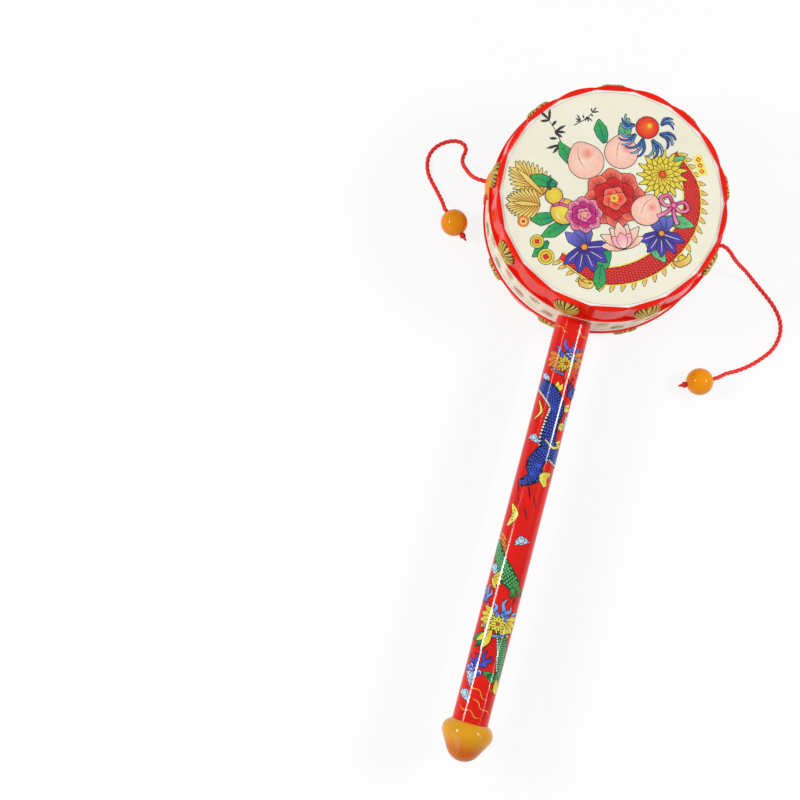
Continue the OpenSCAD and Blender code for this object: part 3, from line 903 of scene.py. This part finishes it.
def head_rings(sheet):
    """A broad white ring at the head's edge, partly bare film beyond the print and partly a painted
    highlight along the lip's inner edge, and a thin grey one inside it.
    """
    turns = full_turn(72) + [2 * math.pi]
    for radius, width, ink in ((45.3, 1.5, srgb(250, 250, 246)), (44.4, 0.3, srgb(206, 200, 176))):
        line = [(radius * math.cos(a), radius * math.sin(a)) for a in turns]
        Brush(sheet).mark(line, [width] * len(line), ink, 2)


def draw_front(sheet):
    head_rings(sheet)
    b = Brush(sheet, (0.6, -0.8), 22, 1.1)
    bamboo(b.at(-17.5, 25.5, 14), 8.5)
    bamboo(b.at(-6.5, 32, -62), 4.6)
    plume(b.at(-25.5, 5, 128), 12, 8.5)
    plume(b.at(-27.4, 1, 168), 8.6, 7.2)
    sash(b, [(25, 15), (29.5, 1), (25, -14), (10, -26), (-8, -28), (-22, -19)], (3, 6.2, 7.4, 7.8, 6.6, 3))
    for x, y, turn, length in (
        (-20, 8, 150, 10), (-17, -6, 200, 12), (-12, 14, 112, 11), (6, 20, 64, 11), (20, 8, 28, 10),
        (17, -9, -24, 12), (-4, -17, 238, 11), (10, -16, -62, 11), (-22, -4, 176, 9), (0, 22, 92, 9),
        (-8, -24, 250, 9),
    ):
        leaf(b.at(x, y, turn), length, 4.6, TEAL, LEAF_PALE if x > 0 else GREEN, 1.0)
    iris(b.at(-13, -16.5, 10), 9.6)
    iris(b.at(16, -14.5, -12), 8.6)
    gourd(b.at(-20.5, 1.5, 24), 4.8)
    peach(b.at(-8, 15.5, 18), 6.5)
    peach(b.at(5.5, 17.5, -20), 6)
    chrysanthemum(b.at(19.5, 7.5), 9.4, OCHRE, LEMON)
    peony(b.at(0.5, 0.5), 11, CRIMSON, SCARLET, srgb(250, 120, 96))
    peach(b.at(11.5, -5.5, -34), 5.4)
    peony(b.at(-11.5, -4.5), 6.6, srgb(160, 16, 96), MAGENTA, PINK)
    lotus(b.at(1.5, -18.5, 6), 9.6)
    bow(b.at(22, -4.5, -30), 5.2)
    leaf(b.at(-26, -13, 214), 8, 3.6, TEAL, GREEN, 0.8)
    ball_on_waves(b.at(16.5, 26, -8), 4.1)
    coin(b.at(-27.5, -18.5, 20), 2.9)
    coin(b.at(-30, -12.5, -12), 2.4)
    ingot(b.at(22.5, -26, 20), 6)
    ingot(b.at(-14.5, -30.5, -24), 5)
    diamond_tag(b.at(34, 9.5, 8), 1.7, 4)
    coin(b.at(-34, -4.5, 0, ORANGE), 1.9, PALE_GOLD, ORANGE)


def draw_back(sheet):
    head_rings(sheet)
    b = Brush(sheet, (0, 0), -8)
    for k in range(10):
        leaf(b.at(0, 0, 36 * k + 10), 25, 7, TEAL, GREEN, 2.2)
    for k in range(5):
        turn = 72 * k + 90
        a = math.radians(turn)
        peony(b.at(19 * math.cos(a), 19 * math.sin(a), turn), 7.4, srgb(160, 16, 96), MAGENTA, PINK)
        cloud(b.at(33 * math.cos(a + 0.63), 33 * math.sin(a + 0.63), turn - 54), 5.5)
        coin(b.at(31.5 * math.cos(a), 31.5 * math.sin(a), turn), 2.6)
    peony(b, 13, CRIMSON, SCARLET, srgb(250, 120, 96))


def gold_wisp(b, size, flip):
    """One long thin wave, tapered at both ends."""
    line = times(size, (0, 0), (0.6, flip * 0.2), (1.3, flip * -0.16), (2, flip * 0.14), (2.6, flip * -0.02))
    b.stroke(line, (0.06, 0.38, 0.26, 0.38, 0.05), OCHRE, GOLD, False)


def crest(b, root, tip, mane, mane_tip, size):
    """A crest of curled tongues over a heart of petals, between two fans of mane."""
    flames(b.at(0, size * 0.3, 84), 5, size * 1.25, size * 0.34, root, tip, NAVY, 26)
    for s, ink, ink_tip in ((-1, mane, mane_tip), (1, mane_tip, mane)):
        for k in range(5):
            p = b.at(s * size * 0.25, 0, 90 - s * (62 + 26 * k))
            p.petal(size * (1.2 - 0.06 * k), size * 0.4, ink, ink_tip, s * size * 0.16)
    b.petals(0, -size * 0.1, (120, 90, 60), size * 0.8, size * 0.34, tip, root, 0.3)
    chrysanthemum(b.at(0, -size * 0.15), size * 0.62, mane_tip, LEMON, BLACK, 2, 10)
    b.stroke(times(size, (-0.9, -0.5), (0, -0.95), (0.9, -0.45)), (0.2, 0.9, 0.2), root, tip)


def waves(b, size, ink, tip):
    """Rows of curling wave tops."""
    for row in range(2):
        for k in range(3):
            p = b.at((k - 1 + 0.5 * row) * size * 0.8, -row * size * 0.55, 0, NAVY)
            p.disc(0, 0, size * 0.46, ink, tip, count=16)
            curl = times(size, (-0.36, 0), (0, 0.3), (0.26, 0), (0, -0.16))
            p.stroke(curl, (0.12, 0.34, 0.3, 0.1), WHITE, SKY, False)


def green_motifs(b):
    """A green scaled band and a gold crest. On the handle, x is round it and y is up it."""
    for k in range(5):
        b.at(9.6 - k * 1.1, 36 - k * 1.9, 206 + 8 * k).petal(5.5, 1.7, ORANGE, OCHRE, 0.8)
    green = [(10, 32), (6.5, 26), (2.5, 20.5), (-4, 15.5)]
    spines = 11
    for i in range(spines):
        place, off, turn = along(green, (i + 0.5) / spines)
        b.at(place.x - 2.0, place.y + 1.6, turn + 122).petal(3.4, 1.3, ORANGE, OCHRE, 0.5)
    scaled_band(b, green, (3, 5.4, 7.2, 5), DARK_GREEN, GREEN, LEAF_PALE, 1.25)
    flames(b.at(-3.5, 15.5, 238), 4, 5.4, 1.9, GREEN, DARK_GREEN)
    cloud(b.at(8, 21, 40), 3.4)
    b.petals(7.2, 17, (135, 165, 195, 225), 5, 1.6, LEMON, GOLD, 0.5)
    flames(b.at(9, 7.5, 92), 4, 8, 1.7, BLUE, SKY)
    b.mark([(-7, 10.2), (-2, 9.2), (3, 10.4)], (0.1, 0.3, 0.1), CRIMSON)
    neck = [(-1, 0), (-4.8, -8), (-6.4, -16), (-8, -24)]
    scaled_band(b, neck, (3.4, 5, 4.4, 2.4), DARK_GREEN, GREEN, LEAF_PALE, 1.15, None, True)
    crest(b.at(-0.2, 0.8, 8), BLUE, SKY, GOLD, LEMON, 6.2)
    b.petals(3.5, -4.5, (-28, -58, -86), 7, 2.2, GREEN, DARK_GREEN, -0.8)
    b.petals(1.5, -3, (-40, -72), 7.5, 2.2, GOLD, LEMON, -0.8)
    leaf(b.at(0.5, -20, 182), 7, 2.6, GREEN, DARK_GREEN, 0.5)
    flames(b.at(-4.5, -22.5, 60), 3, 4, 1.6, GREEN, DARK_GREEN)
    waves(b.at(4.4, -19.5, 24), 2.8, BLUE, VIOLET)
    flames(b.at(2.5, -18, 78), 4, 7, 1.9, BLUE, VIOLET, NAVY, 26)
    cloud(b.at(5.8, -22.8, 60), 3.4)
    b.at(-6, -21.5, 252).petal(6, 3.2, GOLD, LEMON, 0.6)


def dark_strokes(b):
    """A few thin dark dashes and a lemon curl with dots."""
    for x, y, turn in ((-3.5, -34, 62), (0, -30.5, 66), (3, -35, 60), (-1, -39, 58), (5.5, -29, 68)):
        b.at(x, y, turn).petal(5.6, 0.6, BLACK, BLACK, 0.4, False, 0.2)
    b.stroke([(7, -34), (4.4, -38), (6.6, -43)], (0.6, 3, 0.8), LEMON, PALE_GOLD)
    for k in range(4):
        b.disc(5.4 - 0.12 * (k - 1.5) ** 2, -36.4 - 1.3 * k, 0.36, OLIVE, OLIVE, False, count=8)


def blue_motifs(b):
    """An orange crest over a blue scaled band with a row of beads."""
    crest(b.at(-0.2, -53, -10), BLUE, LILAC, ORANGE, OCHRE, 6.2)
    b.petals(-2, -55.5, (200, 228, 256, 284), 5.6, 1.8, ORANGE, SCARLET, -0.8)
    waves(b.at(-2.6, -50.5, 30), 1.9, NAVY, VIOLET)
    cloud(b.at(7, -62, 75), 3.8)
    body = [(9, -64), (3, -67), (-1.6, -72.5), (-1, -80), (-1.6, -88), (-7, -92), (-12.5, -93.5)]
    for i, turn in ((1, 96), (2, 150), (3, 160), (4, 150)):
        b.petals(body[i][0] - 2.2, body[i][1], (turn - 12, turn + 14), 5, 1.9, GOLD, LEMON, 0.6)
    scaled_band(b, body, (5, 6.6, 6.4, 6, 7, 6.4, 4), NAVY, BLUE, BLUE, 1.3, None, True)
    flames(b.at(-5.8, -66.5, 100), 3, 6, 2, BLUE, NAVY)
    b.stroke([(7, -71), (4.6, -75.5), (7, -79)], (0.3, 1.2, 0.3), LEMON, PALE_GOLD)
    b.stroke([(-9.5, -86), (-4.5, -88.8), (0, -86.5)], (0.4, 1.0, 0.3), LEMON, PALE_GOLD)
    cloud(b.at(-8, -77, 95), 3.2)
    cloud(b.at(5, -87, 20), 3)
    tail = [(-1.5, -91), (1.8, -97), (0.5, -102), (5.5, -106)]
    scaled_band(b, tail, (6.6, 7, 5.6, 3), NAVY, BLUE, BLUE, 1.3)
    b.stroke([(-6.6, -99.4), (-3.4, -101.6), (-5.2, -105)], (0.6, 4.2, 1.6), GOLD, LEMON)


def draw_sleeve(sheet, round_mm):
    b = Brush(sheet, (0, 0), 0, 1, BLACK, SLEEVE_LINE_MM, -1)
    for x, y, turn, size, flip in (
        (-8, 36, 22, 2.8, 1), (2, 37, 24, 2.8, -1), (-8, -114, 46, 4, 1), (-4, -115, 28, 4, -1),
        (-7, -121, 30, 4, 1), (-3, -122.5, 16, 4, -1),
    ):
        gold_wisp(b.at(x, y, turn), size, flip)
    blue_motifs(b.at(0, 78))
    dark_strokes(b.at(0, -3))
    green_motifs(b.at(0, -85))
    cloud(b.at(6.2, -115, 30), 3.6)
    cloud(b.at(-1, -51, -20), 3.4)
    far_side = Brush(sheet, (round_mm / 2, 0), 0, 1, BLACK, SLEEVE_LINE_MM)
    for k in range(8):
        b = far_side.at(0, 30 - 20 * k)
        if k % 2:
            peony(b.at(-0.5, 0), 4.4, NAVY, BLUE, SKY)
            flames(b.at(0.5, -5, 268), 3, 7, 1.6, ORANGE, LEMON)
        else:
            cloud(b.at(0.5, 0, 80), 4)
            chrysanthemum(b.at(0, -9), 4.2, GOLD, LEMON, BLACK, 2, 11)


def draw_band(sheet, round_mm, half):
    """A faded small print of flowers and short strokes between pale borders."""
    faded = [
        srgb(226, 140, 122), srgb(164, 186, 122), srgb(206, 170, 130), srgb(236, 180, 116),
        srgb(180, 176, 160),
    ]
    sepia = srgb(166, 122, 84)
    pale = srgb(212, 176, 140)
    flowers, rows, steps = 40, 5, 60
    for k in range(flowers):
        x = round_mm * (k + 0.5) / flowers
        y = half * (0.3 if k % 2 else -0.32)
        b = Brush(sheet, (x, y), 37 * k, 1, sepia if k % 3 else pale, BAND_LINE_MM)
        ink, other = faded[k % 5], faded[(k + 2) % 5]
        if k % 4 == 0:
            chrysanthemum(b, 3, ink, other, sepia, 2, 9)
        elif k % 4 == 2:
            peony(b, 2.7, other, ink, srgb(238, 206, 190))
        else:
            b.petals(0, 0, range(0, 360, 45), 2.8, 1.1, ink, other, 0.4)
        for row in range(rows):
            ink = (sepia, pale, faded[(k + row) % 5])[(k + row) % 3]
            y = half * 0.29 * (row - 2) + 0.5 * math.sin(5 * k + row)
            line = [(-3, 0.2), (-0.8, 0.6), (1.1, -0.2), (3, 0.3)]
            Brush(sheet, (x, y), 5 * math.sin(3 * k + row)).mark(line, (0.1, 0.5, 0.4, 0.1), ink)
    for s in (-1, 1):
        for share, width, ink in ((0.7, 0.36, sepia), (0.84, 2.4, srgb(255, 254, 250))):
            line = [(round_mm * i / steps, s * half * share) for i in range(steps + 1)]
            Brush(sheet).mark(line, [width] * (steps + 1), ink, 1)


def lay_print(name, sheet, material, place, cut=None):
    """Makes the sheet one mesh of thin closed solids, laid by place(u, v, height)."""
    flat = bmesh.new()
    inks = flat.verts.layers.float_color.new("ink")
    for shape in sheet.shapes:
        height = INK_FIRST + INK_STEP * shape["level"]
        verts = []
        for p, ink in zip(shape["points"], shape["inks"]):
            vert = flat.verts.new((p[0], p[1], height))
            vert[inks] = (*ink, 1)
            verts.append(vert)
        for face in shape["faces"]:
            flat.faces.new([verts[i] for i in face])
    if cut:
        low = min(v.co.x for v in flat.verts)
        high = max(v.co.x for v in flat.verts)
        for i in range(1, int((high - low) / cut) + 1):
            parts = flat.verts[:] + flat.edges[:] + flat.faces[:]
            bmesh.ops.bisect_plane(flat, geom=parts, plane_co=(low + i * cut, 0, 0), plane_no=(1, 0, 0))
    under = flat.verts[:]
    bmesh.ops.extrude_face_region(flat, geom=flat.faces[:], use_keep_orig=True)
    for vert in under:
        vert.co.z = -INK_SUNK
    for vert in flat.verts:
        vert.co = place(*vert.co) * MM
    bmesh.ops.recalc_face_normals(flat, faces=flat.faces[:])
    mesh = bpy.data.meshes.new(name)
    flat.to_mesh(mesh)
    flat.free()
    mesh.polygons.foreach_set("use_smooth", [True] * len(mesh.polygons))
    mesh.set_sharp_from_angle(angle=math.radians(SHARP_DEGREES))
    mesh.materials.append(material)
    return new_object(name, mesh, "drum")


def printed_ink(name, roughness):
    """Ink that takes the colour of its print, slightly uneven."""
    material, tree, shader = new_material(name)
    dim = tree.nodes.new("ShaderNodeMix")
    dim.data_type = "RGBA"
    dim.blend_type = "MULTIPLY"
    dim.inputs["Factor"].default_value = 1
    tree.links.new(attribute(tree, "ink").outputs["Color"], dim.inputs["A"])
    patchy = mixed(tree, between(tree, noise(tree, 700, 3)), (0.86, 0.86, 0.86), (1, 1, 1))
    tree.links.new(patchy, dim.inputs["B"])
    tree.links.new(dim.outputs["Result"], shader.inputs["Base Color"])
    shader.inputs["Roughness"].default_value = roughness
    return material


head_ink = printed_ink("head_ink", 0.4)
sleeve_ink = printed_ink("sleeve_ink", 0.12)


def print_head(name, draw, film_top, side):
    """Lays a head's print so that it isn't mirrored when seen from its own side, 1 or -1."""
    sheet = Sheet()
    draw(sheet)

    def place(u, v, h):
        return Vector((drum_middle.x + side * u, drum_middle.y + v, film_top + side * h))

    lay_print(name, sheet, head_ink, place)


def print_sleeve():
    sheet = Sheet()
    draw_sleeve(sheet, 2 * math.pi * sleeve_r)
    axis = middle_of("handle_sleeve")

    def place(u, v, h):
        turn, r = u / sleeve_r, sleeve_r + h
        return Vector((axis.x + r * math.sin(turn), v, axis.z + r * math.cos(turn)))

    lay_print("handle_print", sheet, sleeve_ink, place, SLEEVE_CUT)


def print_band():
    sheet = Sheet()
    draw_band(sheet, 2 * math.pi * band_r, size_of("side_band")[2] / 2)

    def place(u, v, h):
        turn, r = u / band_r, band_r + h
        across, up = r * math.cos(turn), r * math.sin(turn)
        return Vector((drum_middle.x + across, drum_middle.y + up, drum_middle.z + v))

    lay_print("side_band_print", sheet, head_ink, place, BAND_CUT)


print_head("front_head_print", draw_front, front_film_top, 1)
print_head("back_head_print", draw_back, back_film_top, -1)
print_sleeve()
print_band()


# Floor, world and lamps

FLOOR_HALF = 6000
FLOOR_DROP = 0.02
FLOOR_WHITE = (0.85, 0.85, 0.85, 1)
# The floor's own white glow covers this share of its shading near the toy, and all of it far off
GLOW_SHARE = 0.85
GLOW_NEAR_M, GLOW_FAR_M = 0.35, 1.2
WHITE_LIGHT = (1, 1, 1, 1)
WORLD_STRENGTH = 0.47


def joined(tree, kind, factor, first, second):
    """A shader mixed from two others, led to the output of that kind."""
    mix = tree.nodes.new("ShaderNodeMixShader")
    tree.links.new(factor, mix.inputs["Fac"])
    tree.links.new(first, mix.inputs[1])
    tree.links.new(second, mix.inputs[2])
    tree.links.new(mix.outputs[0], tree.nodes.new(kind).inputs["Surface"])


def maths(tree, operation, first, second):
    node = tree.nodes.new("ShaderNodeMath")
    node.operation = operation
    tree.links.new(first, node.inputs[0])
    tree.links.new(second, node.inputs[1])
    return node.outputs[0]


def floor_material():
    """Takes faint shadows, and fades to plain white further out."""
    material = bpy.data.materials.new("floor_white")
    tree = empty_tree(material)
    diffuse = tree.nodes.new("ShaderNodeBsdfDiffuse")
    diffuse.inputs["Color"].default_value = FLOOR_WHITE
    glow = tree.nodes.new("ShaderNodeEmission")
    glow.inputs["Color"].default_value = WHITE_LIGHT
    glow.inputs["Strength"].default_value = 1.0
    rays = tree.nodes.new("ShaderNodeLightPath").outputs
    reach = tree.nodes.new("ShaderNodeVectorMath")
    reach.operation = "LENGTH"
    tree.links.new(own_place(tree), reach.inputs[0])
    share = between(tree, reach.outputs["Value"], GLOW_SHARE, 1, GLOW_NEAR_M, GLOW_FAR_M)
    seen = maths(tree, "MAXIMUM", rays["Is Camera Ray"], rays["Is Glossy Ray"])
    seen_share = maths(tree, "MULTIPLY", seen, share)
    joined(tree, "ShaderNodeOutputMaterial", seen_share, diffuse.outputs[0], glow.outputs[0])
    return material


def make_floor():
    mesh = bpy.data.meshes.new("floor")
    h = FLOOR_HALF
    corners = [(-h, -h, 0), (h, -h, 0), (h, h, 0), (-h, h, 0)]
    mesh.from_pydata([Vector(p) * MM for p in corners], [], [(0, 1, 2, 3)])
    mesh.materials.append(floor_material())
    floor = linked("floor", mesh)
    floor.location.z = -FLOOR_DROP * MM


def make_world():
    """A white surround, dimmer for what it lights than for the camera."""
    world = bpy.data.worlds.new("studio")
    bpy.context.scene.world = world
    tree = empty_tree(world)
    shades = []
    for strength in (WORLD_STRENGTH, 1.0):
        shade = tree.nodes.new("ShaderNodeBackground")
        shade.inputs["Color"].default_value = WHITE_LIGHT
        shade.inputs["Strength"].default_value = strength
        shades.append(shade.outputs[0])
    rays = tree.nodes.new("ShaderNodeLightPath").outputs
    joined(tree, "ShaderNodeOutputWorld", rays["Is Camera Ray"], *shades)


def make_lamp(name, place, target, width, height, power):
    data = bpy.data.lights.new(name, "AREA")
    data.shape = "RECTANGLE"
    data.size, data.size_y = width * MM, height * MM
    data.energy = power
    lamp = linked(name, data)
    place, target = Vector(place) * MM, Vector(target) * MM
    lamp.location = place
    lamp.rotation_euler = (target - place).to_track_quat("-Z", "Y").to_euler()


make_floor()
make_world()
make_lamp("right_lamp", (520, 190, 520), (0, 60, 0), 210, 100, 2.4)
make_lamp("left_lamp", (-560, -86, 480), (0, -40, 0), 170, 100, 2.1)
make_lamp("left_upper_lamp", (-560, 168, 480), (0, 20, 0), 95, 60, 0.22)
make_lamp("right_lower_lamp", (610, -125, 400), (0, -100, 0), 70, 60, 0.2)
make_lamp("low_lamp", (-300, -400, 140), (-30, 40, 20), 400, 200, 0.42)

bpy.context.scene.view_settings.view_transform = "Standard"
